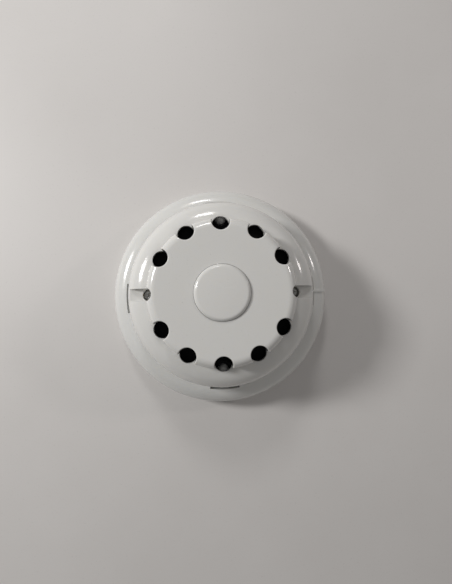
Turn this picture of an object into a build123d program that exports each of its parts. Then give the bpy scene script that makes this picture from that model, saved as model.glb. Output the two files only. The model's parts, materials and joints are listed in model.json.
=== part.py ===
"""Plug-in point heat detector on its mounting base.

Frame: millimetres, +Z along the detector's axis towards its face. The origin is the centre of
the flat back that sits on the ceiling or wall. +Y is 12 o'clock and +X is 3 o'clock, seen from
the face. The mounting base stands still. Everything in the head turns with the bayonet.
"""
from build123d import *
from math import cos, hypot, radians, sin
import os

os.makedirs("parts", exist_ok=True)

# ---------------------------------------------------------------- driving dimensions
FIT = 0.05  # radial clearance of a screw, pin or lead in its hole

BASE_R = 53.5  # mounting base, outer radius
BASE_DOME = 8.6  # radius of the base ring's rounded shoulder
BASE_WALL = 2.2  # thickness of the base ring
BASE_PLATE = 2.4  # thickness of the base's back plate
LEDGE_R = 42.4  # inner edge of the base ring
LEDGE_TOP = 16.5  # height of the base ring's flat top

CABLE_R = 16.0  # hole for the field cables
FIXING_X = 27.5  # fixing slots, from the axis
FIXING_LENGTH = 10.0  # end to end
FIXING_WIDTH = 4.4

SLOT_R = 45.8  # outer end of the bayonet's entry slots
SLOT_ARC = 18.0  # degrees
SLOT_TURN = 1.1  # the slots stand this many degrees off the quarter points
LUG_ARC = 17.0  # degrees
LUG_R = 45.2
LUG_LOW, LUG_TOP = 11.6, 13.9
TWIST = 22.0  # degrees between the locked head and the entry slots
KEYWAY_ARC = 3.0
STOP_ARC = 2.5
STOP_GAP = 0.5  # degrees between a lug and its stop

HEAD_R = 42.0  # skirt of the head
HEAD_WALL = 2.0  # thickness of the head's mouldings
SHOULDER_DOME = 10.0  # radius of the rounded shoulder
SHOULDER_TOP = 37.0  # root of the drum
SKIRT_LOW = 15.1  # joint between the front cover and the rear housing
DRUM_R = 31.3
DRUM_CORNER = 4.0
FACE = 45.5  # height of the flat face

PORT_RING = 29.5  # radius of the ring of air ports
PORT_R = 3.85
NOTCH_X = 32.0  # cover screws
NOTCH_END = 31.4  # centre of the round end of their notches
NOTCH_R = 2.7
NOTCH_FLOOR = 32.6
SCREW_SEAT = 29.2

CAP_R = 11.7
CAP_TOP = 47.1
CAP_RECESS = 1.0
CAP_HOLE_R = 8.1
CAP_GAP = 0.08  # between the cap and its seat
RIM = 0.35  # rounding of the rims on the face

HOUSING_LOW = 9.2  # underside of the rear housing
HOUSING_FLOOR = 11.2
LIP_TOP = 18.0
BOARD_LOW, BOARD_TOP = 17.6, 19.2
BOARD_R = 36.5
GUIDE_LOW, GUIDE_FLOOR, GUIDE_TOP = 30.4, 32.0, 43.2
POST_RING = 30.0  # the screws that clamp housing, board and air guide
POST_BORE_R = 1.6
SCREW_R = 1.35  # shank of the head's self-tapping screws
SCREW_HEAD = 1.9  # height of their heads
LED_Y = 33.3
LED_R = 2.5
TERMINAL_ANGLES = (55, 125, 235, 305)
TERMINAL_RING = 34.0
TERMINAL_SCREW_R = 1.5
RIVET_RING = 28.6
RIVET_R = 0.8
BLADE_RING = 25.0
BLADE_LOW = 8.5
PIN_R = 1.0
PAD_TOP = 4.4  # top of the base's terminal pads
STRIP = 0.5  # thickness of the contact strip

PORT_ANGLES = [step * 30 for step in range(12) if step not in (0, 6)]
POST_ANGLES = (45, 135, 225, 315)


def at(radius, angle):
    """Point on a circle, angle in degrees from 3 o'clock."""
    return (radius * cos(radians(angle)), radius * sin(radians(angle)))


def ring_places(radius, angles):
    """Places on a ring, each with its own x axis pointing outwards."""
    return [Location((*at(radius, angle), 0), (0, 0, angle)) for angle in angles]


def ring_sector(inner, outer, middle, width):
    """Piece of a flat ring."""
    start = middle - width / 2
    with BuildSketch() as sector:
        with BuildLine():
            CenterArc((0, 0), inner, start, width)
            CenterArc((0, 0), outer, start, width)
            for angle in (start, start + width):
                Line(at(inner, angle), at(outer, angle))
        make_face()
    return sector.sketch


def rim_edges(part, centres, radius):
    """Edges where upright round cuts of one radius meet the outside of the drum."""
    def on_cut(point):
        return any(abs(hypot(point.X - x, point.Y - y) - radius) < 0.01 for x, y in centres)

    def outside(point):
        return point.Z > FACE - 1.3 or hypot(point.X, point.Y) > DRUM_R - 0.5

    return part.edges().filter_by(
        lambda edge: all(on_cut(edge @ step) for step in (0, 0.5, 1))
        and outside(edge @ 0.5)
        and (edge @ 0.5).Z > SHOULDER_TOP + 0.1
    )


def save(piece, name):
    piece.part.label = name
    export_step(piece.part, f"parts/{name}.step")


# ---------------------------------------------------------------- mounting base
wall_top = LEDGE_TOP - BASE_DOME
dome_r = BASE_R - BASE_DOME
ledge_low = LEDGE_TOP - BASE_WALL
slot_angles = [SLOT_TURN + 90 * step for step in range(4)]
rib_arc = 1.2
rib_rise = 0.6
rib_inner = BASE_DOME - BASE_WALL + 0.1  # radius of the line's underside
foot_edge = 0.6

with BuildPart() as mounting_base:
    with BuildSketch(Plane.XZ):
        with BuildLine():
            Polyline(
                (LEDGE_R, LEDGE_TOP),
                (LEDGE_R, ledge_low),
                (dome_r, ledge_low),
            )
            CenterArc((dome_r, wall_top), BASE_DOME - BASE_WALL, 0, 90)
            Polyline(
                (BASE_R - BASE_WALL, wall_top),
                (BASE_R - BASE_WALL, BASE_PLATE),
                (CABLE_R, BASE_PLATE),
                (CABLE_R, 0),
                (BASE_R - foot_edge, 0),
                (BASE_R, foot_edge),
                (BASE_R, wall_top),
            )
            CenterArc((dome_r, wall_top), BASE_DOME, 0, 90)
            Line((dome_r, LEDGE_TOP), (LEDGE_R, LEDGE_TOP))
        make_face()
    revolve(axis=Axis.Z)
    top_edges = mounting_base.edges().filter_by(GeomType.CIRCLE).group_by(Axis.Z)[-1]
    fillet(top_edges.sort_by(SortBy.LENGTH)[0], 0.4)

    # entry slots of the bayonet, open towards the head
    with BuildSketch(Plane.XY.offset(ledge_low - 1)):
        for angle in slot_angles:
            add(ring_sector(LEDGE_R - 1, SLOT_R, angle, SLOT_ARC))
    extrude(amount=LEDGE_TOP, mode=Mode.SUBTRACT)

    # stops under the ring, one at each end of a lug's travel
    with BuildSketch(Plane.XY.offset(LUG_LOW - 0.4)):
        for angle in slot_angles:
            for middle in (
                angle + LUG_ARC / 2 + STOP_GAP + STOP_ARC / 2,
                angle - TWIST - LUG_ARC / 2 - STOP_GAP - STOP_ARC / 2,
            ):
                add(ring_sector(LEDGE_R, dome_r + 2.4, middle, STOP_ARC))
    extrude(amount=ledge_low - LUG_LOW + 0.9)

    # guide wall under the outer edge of each entry slot
    with BuildSketch(Plane.XY.offset(LUG_LOW - 0.6)):
        for angle in slot_angles:
            add(ring_sector(SLOT_R, SLOT_R + 1.4, angle, SLOT_ARC + 1))
    extrude(amount=ledge_low - LUG_LOW + 1.1)

    # raised alignment line over the ring and across the 3 o'clock slot
    with BuildSketch(Plane.XZ.rotated((0, 0, SLOT_TURN - rib_arc / 2), ordering=Extrinsic.XYZ)):
        with BuildLine():
            Polyline(
                (dome_r, LEDGE_TOP + rib_rise),
                (LEDGE_R + 0.2, LEDGE_TOP + rib_rise),
                (LEDGE_R + 0.2, wall_top + rib_inner),
                (dome_r, wall_top + rib_inner),
            )
            CenterArc((dome_r, wall_top), rib_inner, 0, 90)
            Polyline(
                (dome_r + rib_inner, wall_top),
                (BASE_R, wall_top),
                (BASE_R, wall_top + rib_rise),
            )
            CenterArc((dome_r, wall_top + rib_rise), BASE_DOME, 0, 90)
        make_face()
    revolve(axis=Axis.Z, revolution_arc=rib_arc)

    # cable collar and stiffening ribs on the back plate
    with BuildSketch(Plane.XY.offset(BASE_PLATE)):
        Circle(CABLE_R + 1.4)
        Circle(CABLE_R, mode=Mode.SUBTRACT)
    extrude(amount=1.4)
    with BuildSketch(Plane.XY.offset(BASE_PLATE)):
        with Locations(ring_places((CABLE_R + BASE_R) / 2, (30, 90, 150, 210, 270, 330))):
            Rectangle(BASE_R - CABLE_R - 2.2, 1.2)
    extrude(amount=1.6)

    # terminal pads, each with a screw hole and a rivet hole
    with BuildSketch(Plane.XY.offset(BASE_PLATE)):
        with Locations(ring_places(33, TERMINAL_ANGLES)):
            RectangleRounded(13, 10.5, 1.2)
    extrude(amount=PAD_TOP - BASE_PLATE)
    with BuildSketch(Plane.XY.offset(0.8)):
        with Locations(ring_places(TERMINAL_RING, TERMINAL_ANGLES)):
            Circle(TERMINAL_SCREW_R + FIT)
    extrude(amount=PAD_TOP, mode=Mode.SUBTRACT)
    with BuildSketch(Plane.XY.offset(2.6)):
        with Locations(ring_places(RIVET_RING, TERMINAL_ANGLES)):
            Circle(RIVET_R + FIT)
    extrude(amount=PAD_TOP, mode=Mode.SUBTRACT)

    # slots for the two fixing screws
    with BuildSketch(Plane.XY.offset(-1)):
        with Locations((-FIXING_X, 0), (FIXING_X, 0)):
            SlotOverall(FIXING_LENGTH, FIXING_WIDTH)
    extrude(amount=BASE_PLATE + 4, mode=Mode.SUBTRACT)
save(mounting_base, "mounting_base")

# ---------------------------------------------------------------- contacts of the base
strip_hole_r = TERMINAL_SCREW_R + 0.15
foot_mid = PAD_TOP + STRIP / 2
crest = BLADE_LOW - 0.3 - STRIP / 2

with BuildPart() as contact_spring:
    with BuildSketch(Plane.XZ):
        with BuildLine():
            FilletPolyline(
                (28, foot_mid),
                (26.6, foot_mid),
                (24.6, crest + 0.35),
                (21.6, crest - 1.2),
                radius=0.9,
            )
        trace(line_width=STRIP)
    extrude(amount=2.5, both=True)
    with BuildSketch(Plane.XY.offset(PAD_TOP)):
        with Locations((32.6, 0)):
            RectangleRounded(11.6, 8, 1)
        with Locations((TERMINAL_RING, 0)):
            Circle(strip_hole_r, mode=Mode.SUBTRACT)
    extrude(amount=STRIP)
    with Locations((RIVET_RING, 0, foot_mid)):
        Cylinder(RIVET_R + FIT, 2, mode=Mode.SUBTRACT)

with BuildPart() as spring_rivet:
    with Locations((RIVET_RING, 0, 2.7)):
        Cylinder(RIVET_R, PAD_TOP + STRIP - 2.7, align=(Align.CENTER, Align.CENTER, Align.MIN))
    with Locations((RIVET_RING, 0, PAD_TOP + STRIP)):
        Cylinder(1.4, 0.6, align=(Align.CENTER, Align.CENTER, Align.MIN))
    fillet(spring_rivet.edges().group_by(Axis.Z)[-1], 0.4)

clamp_low = PAD_TOP + STRIP
clamp_top = clamp_low + 1.2
with BuildPart() as terminal_clamp:
    with BuildSketch(Plane.XY.offset(clamp_low)):
        with Locations((TERMINAL_RING, 0)):
            RectangleRounded(7, 7, 0.6)
            Circle(strip_hole_r, mode=Mode.SUBTRACT)
    extrude(amount=clamp_top - clamp_low)
    fillet(terminal_clamp.edges().group_by(Axis.Z)[-1], 0.3)

with BuildPart() as terminal_screw:
    with Locations((TERMINAL_RING, 0, 1)):
        Cylinder(TERMINAL_SCREW_R, clamp_top - 1, align=(Align.CENTER, Align.CENTER, Align.MIN))
    with Locations((TERMINAL_RING, 0, clamp_top)):
        Cylinder(2.75, SCREW_HEAD, align=(Align.CENTER, Align.CENTER, Align.MIN))
    fillet(terminal_screw.edges().group_by(Axis.Z)[-1], 0.5)
    with Locations((TERMINAL_RING, 0, clamp_top + SCREW_HEAD)):
        Box(0.9, 7, 2, mode=Mode.SUBTRACT)


def save_ring_of(piece, angles, name):
    """Write copies of a piece that stands at 3 o'clock, turned to each angle."""
    with BuildPart() as group:
        for angle in angles:
            add(piece.part.rotate(Axis.Z, angle))
    save(group, name)


save_ring_of(contact_spring, TERMINAL_ANGLES, "contact_springs")
save_ring_of(spring_rivet, TERMINAL_ANGLES, "spring_rivets")
save_ring_of(terminal_clamp, TERMINAL_ANGLES, "terminal_clamps")
save_ring_of(terminal_screw, TERMINAL_ANGLES, "terminal_screws")

# ---------------------------------------------------------------- rear housing of the head
lip_r = HEAD_R - HEAD_WALL - 0.2
cover_post_top = 25.0
lug_angles = [angle - TWIST for angle in slot_angles]

with BuildPart() as rear_housing:
    with BuildSketch(Plane.XZ):
        with BuildLine():
            Polyline(
                (0, HOUSING_LOW),
                (HEAD_R - 0.6, HOUSING_LOW),
                (HEAD_R, HOUSING_LOW + 0.6),
                (HEAD_R, SKIRT_LOW - 0.2),
                (lip_r, SKIRT_LOW - 0.2),
                (lip_r, LIP_TOP),
                (lip_r - 1.6, LIP_TOP),
                (lip_r - 1.6, HOUSING_FLOOR),
                (0, HOUSING_FLOOR),
                close=True,
            )
        make_face()
    revolve(axis=Axis.Z)

    # bayonet lugs
    with BuildSketch(Plane.XY.offset(LUG_LOW)):
        for angle in lug_angles:
            add(ring_sector(HEAD_R - 1, LUG_R, angle, LUG_ARC))
    extrude(amount=LUG_TOP - LUG_LOW)
    # keyway that lets the first lug pass the alignment line
    with BuildSketch(Plane.XY.offset(LUG_LOW - 1)):
        add(ring_sector(HEAD_R, LUG_R + 1, SLOT_TURN - TWIST, KEYWAY_ARC))
    extrude(amount=LUG_TOP, mode=Mode.SUBTRACT)

    # posts for the cover screws, with a web to the lip
    with BuildSketch(Plane.XY.offset(HOUSING_FLOOR)):
        with Locations((-NOTCH_X, 0), (NOTCH_X, 0)):
            Circle(3.7)
    extrude(amount=cover_post_top - HOUSING_FLOOR)
    with BuildSketch(Plane.XY.offset(HOUSING_FLOOR + 1.6)):
        with Locations((-NOTCH_X, 0), (NOTCH_X, 0)):
            Circle(SCREW_R + FIT)
    extrude(amount=cover_post_top, mode=Mode.SUBTRACT)

    # posts under the board, counterbored from below for the board screws
    with BuildSketch(Plane.XY.offset(HOUSING_FLOOR)):
        with Locations(ring_places(POST_RING, POST_ANGLES)):
            Circle(3.5)
    extrude(amount=BOARD_LOW - HOUSING_FLOOR)
    with BuildSketch(Plane.XY.offset(HOUSING_LOW - 1)):
        with Locations(ring_places(POST_RING, POST_ANGLES)):
            Circle(2.9)
    extrude(amount=3.2, mode=Mode.SUBTRACT)
    with BuildSketch(Plane.XY.offset(HOUSING_LOW)):
        with Locations(ring_places(POST_RING, POST_ANGLES)):
            Circle(POST_BORE_R)
    extrude(amount=BOARD_TOP, mode=Mode.SUBTRACT)

    # holes for the contact pins
    with BuildSketch(Plane.XY.offset(HOUSING_LOW - 1)):
        with Locations(ring_places(BLADE_RING, TERMINAL_ANGLES)):
            Circle(PIN_R + FIT)
    extrude(amount=HOUSING_FLOOR, mode=Mode.SUBTRACT)
save(rear_housing, "rear_housing")

# ---------------------------------------------------------------- contacts of the head
with BuildPart() as contact_blade:
    with BuildSketch(Plane.XY.offset(BLADE_LOW)):
        with Locations((BLADE_RING, 0)):
            RectangleRounded(7.5, 9, 1)
            Circle(PIN_R + FIT, mode=Mode.SUBTRACT)
    extrude(amount=HOUSING_LOW - BLADE_LOW)
    fillet(contact_blade.edges().group_by(Axis.Z)[0].filter_by(GeomType.CIRCLE, reverse=True), 0.2)

with BuildPart() as contact_pin:
    with Locations((BLADE_RING, 0, BLADE_LOW)):
        Cylinder(PIN_R, BOARD_TOP + 1 - BLADE_LOW, align=(Align.CENTER, Align.CENTER, Align.MIN))
    with Locations((BLADE_RING, 0, HOUSING_FLOOR)):
        Cylinder(2.0, 0.8, align=(Align.CENTER, Align.CENTER, Align.MIN))

save_ring_of(contact_blade, TERMINAL_ANGLES, "contact_blades")
save_ring_of(contact_pin, TERMINAL_ANGLES, "contact_pins")

# ---------------------------------------------------------------- circuit board
led_leg = 1.27  # half the spacing of an LED's leads
capacitor_leg = 1.25
wide_leg = 2.5  # half the spacing of the film capacitor's and the suppressor's leads
wire_r = 0.25
tail = 1.0  # length of a lead under the board
post_r = 2.4
sensor_x = 0.9  # half the spacing of the sensing thermistor's leads
reference_at = (-5.5, -6.5)
capacitor_places = [(12.5, -13.0), (-13.5, -12.5)]
film_at = (13.5, 11.0)
suppressor_at = (0.0, -20.5)
chip_at = (-11.5, 9.5)
bridge_at = (1.0, 15.0)

lead_holes = [(x, y) for y in (-LED_Y, LED_Y) for x in (-led_leg, led_leg)]
lead_holes += [(-sensor_x, 0), (sensor_x, 0)]
lead_holes += [(reference_at[0] + side, reference_at[1]) for side in (-led_leg, led_leg)]
capacitor_holes = [(x + side, y) for x, y in capacitor_places for side in (-capacitor_leg, capacitor_leg)]
film_holes = [(film_at[0] + side, film_at[1]) for side in (-wide_leg, wide_leg)]
suppressor_holes = [(suppressor_at[0] + side, suppressor_at[1]) for side in (-wide_leg, wide_leg)]
lead_holes += capacitor_holes + film_holes + suppressor_holes

with BuildPart() as circuit_board:
    with BuildSketch(Plane.XY.offset(BOARD_LOW)):
        Circle(BOARD_R)
        for side in (-1, 1):
            with Locations((side * NOTCH_X, 0)):
                Circle(4.2, mode=Mode.SUBTRACT)
            with Locations((side * (NOTCH_X + 4), 0)):
                Rectangle(8, 8.4, mode=Mode.SUBTRACT)
        with Locations(ring_places(POST_RING, POST_ANGLES)):
            Circle(POST_BORE_R, mode=Mode.SUBTRACT)
        with Locations(ring_places(BLADE_RING, TERMINAL_ANGLES)):
            Circle(PIN_R + FIT, mode=Mode.SUBTRACT)
        with Locations(lead_holes):
            Circle(wire_r + FIT, mode=Mode.SUBTRACT)
    extrude(amount=BOARD_TOP - BOARD_LOW)
save(circuit_board, "circuit_board")

# ---------------------------------------------------------------- air guide (black)
tub_r = NOTCH_R + 1.9  # outside of the cover's notch walls
guide_gap = 0.4

with BuildPart() as air_guide:
    with BuildSketch(Plane.XY.offset(GUIDE_LOW)):
        Circle(35.5)
        Circle(6.5, mode=Mode.SUBTRACT)
    extrude(amount=GUIDE_FLOOR - GUIDE_LOW)
    with BuildSketch(Plane.XY.offset(GUIDE_FLOOR)):
        Circle(24.8)
        Circle(23.6, mode=Mode.SUBTRACT)
        with Locations(ring_places(26.4, [angle + 15 for angle in range(0, 360, 30)])):
            Rectangle(3.4, 1)
    extrude(amount=GUIDE_TOP - GUIDE_FLOOR)
    # windows that let the air through the baffle to the sensor
    with Locations(*[Location((*at(24.2, angle), 37.4), (0, 0, angle)) for angle in PORT_ANGLES]):
        Box(4, 5, 7.6, mode=Mode.SUBTRACT)
    # legs down to the board, bored for the board screws
    with BuildSketch(Plane.XY.offset(BOARD_TOP)):
        with Locations(ring_places(POST_RING, POST_ANGLES)):
            Circle(3.0)
    extrude(amount=GUIDE_LOW - BOARD_TOP)
    with BuildSketch(Plane.XY.offset(BOARD_TOP)):
        with Locations(ring_places(POST_RING, POST_ANGLES)):
            Circle(SCREW_R + FIT)
    extrude(amount=9, mode=Mode.SUBTRACT)
    # room for the cover's notches, and holes for the LEDs
    with BuildSketch(Plane.XY.offset(GUIDE_LOW - 1)):
        for side in (-1, 1):
            with Locations((side * NOTCH_X, 0)):
                Circle(tub_r + guide_gap)
            with Locations((side * (NOTCH_X + 4), 0)):
                Rectangle(8, 2 * (tub_r + guide_gap))
        with Locations((0, -LED_Y), (0, LED_Y)):
            Circle(LED_R + 0.3)
    extrude(amount=6, mode=Mode.SUBTRACT)
save(air_guide, "air_guide")

board_screw_low = HOUSING_LOW + 0.3
with BuildPart() as board_screw:
    with Locations((POST_RING, 0, board_screw_low)):
        Cylinder(2.7, SCREW_HEAD, align=(Align.CENTER, Align.CENTER, Align.MIN))
    fillet(board_screw.edges().group_by(Axis.Z)[0], 0.7)
    with Locations((POST_RING, 0, board_screw_low + SCREW_HEAD)):
        Cylinder(SCREW_R, 15, align=(Align.CENTER, Align.CENTER, Align.MIN))
    for length, width in ((3, 0.7), (0.7, 3)):
        with Locations((POST_RING, 0, board_screw_low)):
            Box(length, width, 2, mode=Mode.SUBTRACT)
save_ring_of(board_screw, POST_ANGLES, "board_screws")

# ---------------------------------------------------------------- front cover
shoulder_r = HEAD_R - SHOULDER_DOME
dome_z = SHOULDER_TOP - SHOULDER_DOME
boss_low = 25.2

# the hollow inside the cover, less the walls that line the two screw notches
with BuildPart() as cover_hollow:
    with BuildSketch(Plane.XZ):
        with BuildLine():
            Polyline(
                (shoulder_r, SHOULDER_TOP - HEAD_WALL),
                (DRUM_R - HEAD_WALL, SHOULDER_TOP - HEAD_WALL),
                (DRUM_R - HEAD_WALL, FACE - DRUM_CORNER),
            )
            CenterArc((DRUM_R - DRUM_CORNER, FACE - DRUM_CORNER), DRUM_CORNER - HEAD_WALL, 0, 90)
            Polyline(
                (DRUM_R - DRUM_CORNER, FACE - HEAD_WALL),
                (0, FACE - HEAD_WALL),
                (0, 0),
                (HEAD_R - HEAD_WALL, 0),
                (HEAD_R - HEAD_WALL, dome_z),
            )
            CenterArc((shoulder_r, dome_z), SHOULDER_DOME - HEAD_WALL, 0, 90)
        make_face()
    revolve(axis=Axis.Z)
    with BuildSketch(Plane.XY.offset(NOTCH_FLOOR - 2.2)):
        for side in (-1, 1):
            with Locations((side * NOTCH_X, 0)):
                Circle(tub_r)
            with Locations((side * (NOTCH_X + 7), 0)):
                Rectangle(14, 2 * tub_r)
    extrude(amount=FACE, mode=Mode.SUBTRACT)
    with BuildSketch(Plane.XY.offset(boss_low)):
        with Locations((-NOTCH_X, 0), (NOTCH_X, 0)):
            Circle(tub_r)
    extrude(amount=FACE, mode=Mode.SUBTRACT)

with BuildPart() as front_cover:
    with BuildSketch(Plane.XZ):
        with BuildLine():
            Polyline((0, SKIRT_LOW), (0, FACE), (DRUM_R - DRUM_CORNER, FACE))
            CenterArc((DRUM_R - DRUM_CORNER, FACE - DRUM_CORNER), DRUM_CORNER, 0, 90)
            Polyline(
                (DRUM_R, FACE - DRUM_CORNER),
                (DRUM_R, SHOULDER_TOP),
                (shoulder_r, SHOULDER_TOP),
            )
            CenterArc((shoulder_r, dome_z), SHOULDER_DOME, 0, 90)
            Polyline((HEAD_R, dome_z), (HEAD_R, SKIRT_LOW), (0, SKIRT_LOW))
        make_face()
    revolve(axis=Axis.Z)
    add(cover_hollow.part, mode=Mode.SUBTRACT)

    # seat and hole of the centre cap
    with BuildSketch(Plane.XY.offset(FACE - CAP_RECESS)):
        Circle(CAP_R + CAP_GAP)
    extrude(amount=5, mode=Mode.SUBTRACT)
    with BuildSketch(Plane.XY.offset(FACE - 5)):
        Circle(CAP_HOLE_R)
    extrude(amount=10, mode=Mode.SUBTRACT)

    # screw notches: a slot with a round end, open to the shoulder
    with BuildSketch(Plane.XY.offset(NOTCH_FLOOR)):
        for side in (-1, 1):
            with Locations((side * NOTCH_END, 0)):
                Circle(NOTCH_R)
            with Locations((side * (NOTCH_END + 7), 0)):
                Rectangle(14, 2 * NOTCH_R)
    extrude(amount=FACE, mode=Mode.SUBTRACT)
    with BuildSketch(Plane.XY.offset(SCREW_SEAT)):
        with Locations((-NOTCH_X, 0), (NOTCH_X, 0)):
            Circle(2.6)
    extrude(amount=FACE, mode=Mode.SUBTRACT)
    with BuildSketch(Plane.XY.offset(boss_low - 1)):
        with Locations((-NOTCH_X, 0), (NOTCH_X, 0)):
            Circle(1.5)
    extrude(amount=FACE, mode=Mode.SUBTRACT)

    # air ports: straight holes through face, drum wall and shoulder root
    with BuildSketch(Plane.XY.offset(SHOULDER_TOP - 3)):
        with Locations(ring_places(PORT_RING, PORT_ANGLES)):
            Circle(PORT_R)
    extrude(amount=FACE, mode=Mode.SUBTRACT)

    # rims are softened, as a polished mould leaves them
    port_centres = [at(PORT_RING, angle) for angle in PORT_ANGLES]
    fillet(rim_edges(front_cover, port_centres, PORT_R), RIM)
    fillet(rim_edges(front_cover, [(-NOTCH_END, 0), (NOTCH_END, 0)], NOTCH_R), RIM)
save(front_cover, "front_cover")

cover_screw_length = 14.0
with BuildPart() as cover_screw:
    with Locations((NOTCH_X, 0, SCREW_SEAT)):
        Cylinder(2.4, SCREW_HEAD, align=(Align.CENTER, Align.CENTER, Align.MIN))
    fillet(cover_screw.edges().group_by(Axis.Z)[-1], 0.7)
    with Locations((NOTCH_X, 0, SCREW_SEAT - cover_screw_length)):
        Cylinder(SCREW_R, cover_screw_length, align=(Align.CENTER, Align.CENTER, Align.MIN))
    for length, width in ((2.9, 0.7), (0.7, 2.9)):
        with Locations((NOTCH_X, 0, SCREW_SEAT + SCREW_HEAD)):
            Box(length, width, 2.2, mode=Mode.SUBTRACT)
save_ring_of(cover_screw, (0, 180), "cover_screws")

# ---------------------------------------------------------------- centre cap
cap_low = FACE - CAP_RECESS + 0.1
cap_edge = 1.7  # radius of the rounded edge
cap_flat = CAP_R - cap_edge
cap_shoulder = CAP_TOP - 0.25
leg_r = 7.8
with BuildPart() as centre_cap:
    with BuildSketch(Plane.XZ):
        with BuildLine():
            ThreePointArc((0, CAP_TOP), (CAP_R / 2 - 1, CAP_TOP - 0.05), (cap_flat, cap_shoulder))
            RadiusArc((cap_flat, cap_shoulder), (CAP_R, cap_shoulder - cap_edge), cap_edge)
            Polyline(
                (CAP_R, cap_shoulder - cap_edge),
                (CAP_R, cap_low),
                (leg_r, cap_low),
                (leg_r, 43.3),
                (leg_r + 0.6, 43.1),
                (leg_r, 42.2),
                (leg_r - 1.5, 42.2),
                (leg_r - 1.5, cap_low + 0.4),
                (0, cap_low + 0.4),
                (0, CAP_TOP),
            )
        make_face()
    revolve(axis=Axis.Z)
    for turn in (45, 135):
        with Locations(Location((0, 0, 42), (0, 0, turn))):
            Box(20, 1.4, 2 * (cap_low - 42), mode=Mode.SUBTRACT)
    # small nick in the edge, for prising the cap out
    with Locations(Location((*at(CAP_R, -30), cap_low), (0, 0, -30))):
        Box(1.0, 1.4, 2.4, mode=Mode.SUBTRACT)
save(centre_cap, "centre_cap")

# ---------------------------------------------------------------- heat sensor
post_top = 33.0
bead_z = 38.5
with BuildPart() as sensor_post:
    with BuildSketch(Plane.XY.offset(BOARD_TOP)):
        Circle(post_r)
        with Locations((-sensor_x, 0), (sensor_x, 0)):
            Circle(wire_r + FIT, mode=Mode.SUBTRACT)
    extrude(amount=post_top - BOARD_TOP)
    fillet(sensor_post.edges().group_by(Axis.Z)[-1].sort_by(SortBy.LENGTH)[-1], 0.6)
save(sensor_post, "sensor_post")

with BuildPart() as sensing_thermistor:
    with BuildSketch(Plane.XZ):
        with BuildLine():
            Polyline((0, bead_z - 2.4), (0.55, bead_z - 2.4), (1.3, bead_z - 0.6))
            Spline(
                (1.3, bead_z - 0.6),
                (1.5, bead_z + 0.4),
                (1.1, bead_z + 1.4),
                (0, bead_z + 1.8),
                tangents=((0.35, 1), (-1, 0)),
            )
            Line((0, bead_z + 1.8), (0, bead_z - 2.4))
        make_face()
    revolve(axis=Axis.Z)
save(sensing_thermistor, "sensing_thermistor")

with BuildPart() as sensing_leads:
    for side in (-1, 1):
        with BuildLine():
            FilletPolyline(
                (side * sensor_x, 0, BOARD_LOW - tail),
                (side * sensor_x, 0, post_top + 0.6),
                (side * 0.3, 0, bead_z - 3.3),
                (side * 0.3, 0, bead_z - 2.45),
                radius=0.6,
            )
        with BuildSketch(Plane.XY.offset(BOARD_LOW - tail)):
            with Locations((side * sensor_x, 0)):
                Circle(wire_r)
        sweep()
save(sensing_leads, "sensing_leads")

with BuildPart() as reference_thermistor:
    with Locations((*reference_at, BOARD_TOP + 3.2)):
        Sphere(1.3)
save(reference_thermistor, "reference_thermistor")

with BuildPart() as reference_leads:
    for side in (-1, 1):
        with BuildLine(Plane.XZ.offset(-reference_at[1])):
            FilletPolyline(
                (reference_at[0] + side * led_leg, BOARD_LOW - tail),
                (reference_at[0] + side * led_leg, BOARD_TOP + 0.6),
                (reference_at[0] + side * 0.45, BOARD_TOP + 1.4),
                (reference_at[0] + side * 0.45, BOARD_TOP + 1.9),
                radius=0.25,
            )
        with BuildSketch(Plane.XY.offset(BOARD_LOW - tail)):
            with Locations((reference_at[0] + side * led_leg, reference_at[1])):
                Circle(wire_r)
        sweep()
save(reference_leads, "reference_leads")

# ---------------------------------------------------------------- alarm LEDs
led_low = 25.4
with BuildPart() as alarm_leds:
    with BuildSketch(Plane.XY.offset(led_low)):
        with Locations((0, -LED_Y), (0, LED_Y)):
            Circle(LED_R + 0.4)
    extrude(amount=1)
    with BuildSketch(Plane.XY.offset(led_low + 1)):
        with Locations((0, -LED_Y), (0, LED_Y)):
            Circle(LED_R)
    extrude(amount=5.5)
    with Locations((0, -LED_Y, led_low + 6.5), (0, LED_Y, led_low + 6.5)):
        Sphere(LED_R)
save(alarm_leds, "alarm_leds")

with BuildPart() as led_spacers:
    with BuildSketch(Plane.XY.offset(BOARD_TOP)):
        for y in (-LED_Y, LED_Y):
            with Locations((0, y)):
                Circle(LED_R + 0.3)
            with Locations((-led_leg, y), (led_leg, y)):
                Circle(wire_r + FIT, mode=Mode.SUBTRACT)
    extrude(amount=led_low - BOARD_TOP)
save(led_spacers, "led_spacers")

with BuildPart() as led_leads:
    with BuildSketch(Plane.XY.offset(BOARD_LOW - tail)):
        with Locations(lead_holes[:4]):
            Circle(wire_r)
    extrude(amount=led_low - BOARD_LOW + 1)
save(led_leads, "led_leads")

# ---------------------------------------------------------------- parts on the board
capacitor_rise = 0.2  # gap between a capacitor and the board
with BuildPart() as electrolytic_capacitors:
    for x, y in capacitor_places:
        with Locations((x, y, BOARD_TOP + capacitor_rise)):
            Cylinder(3.15, 8, align=(Align.CENTER, Align.CENTER, Align.MIN))
    fillet(electrolytic_capacitors.edges().group_by(Axis.Z)[-1], 0.5)
    for x, y in capacitor_places:
        with Locations((x, y, BOARD_TOP + 1.6)):
            Torus(3.45, 0.5, mode=Mode.SUBTRACT)
save(electrolytic_capacitors, "electrolytic_capacitors")

with BuildPart() as capacitor_leads:
    with BuildSketch(Plane.XY.offset(BOARD_LOW - tail)):
        with Locations(capacitor_holes):
            Circle(wire_r)
    extrude(amount=BOARD_TOP + capacitor_rise - BOARD_LOW + tail)
save(capacitor_leads, "capacitor_leads")

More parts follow.
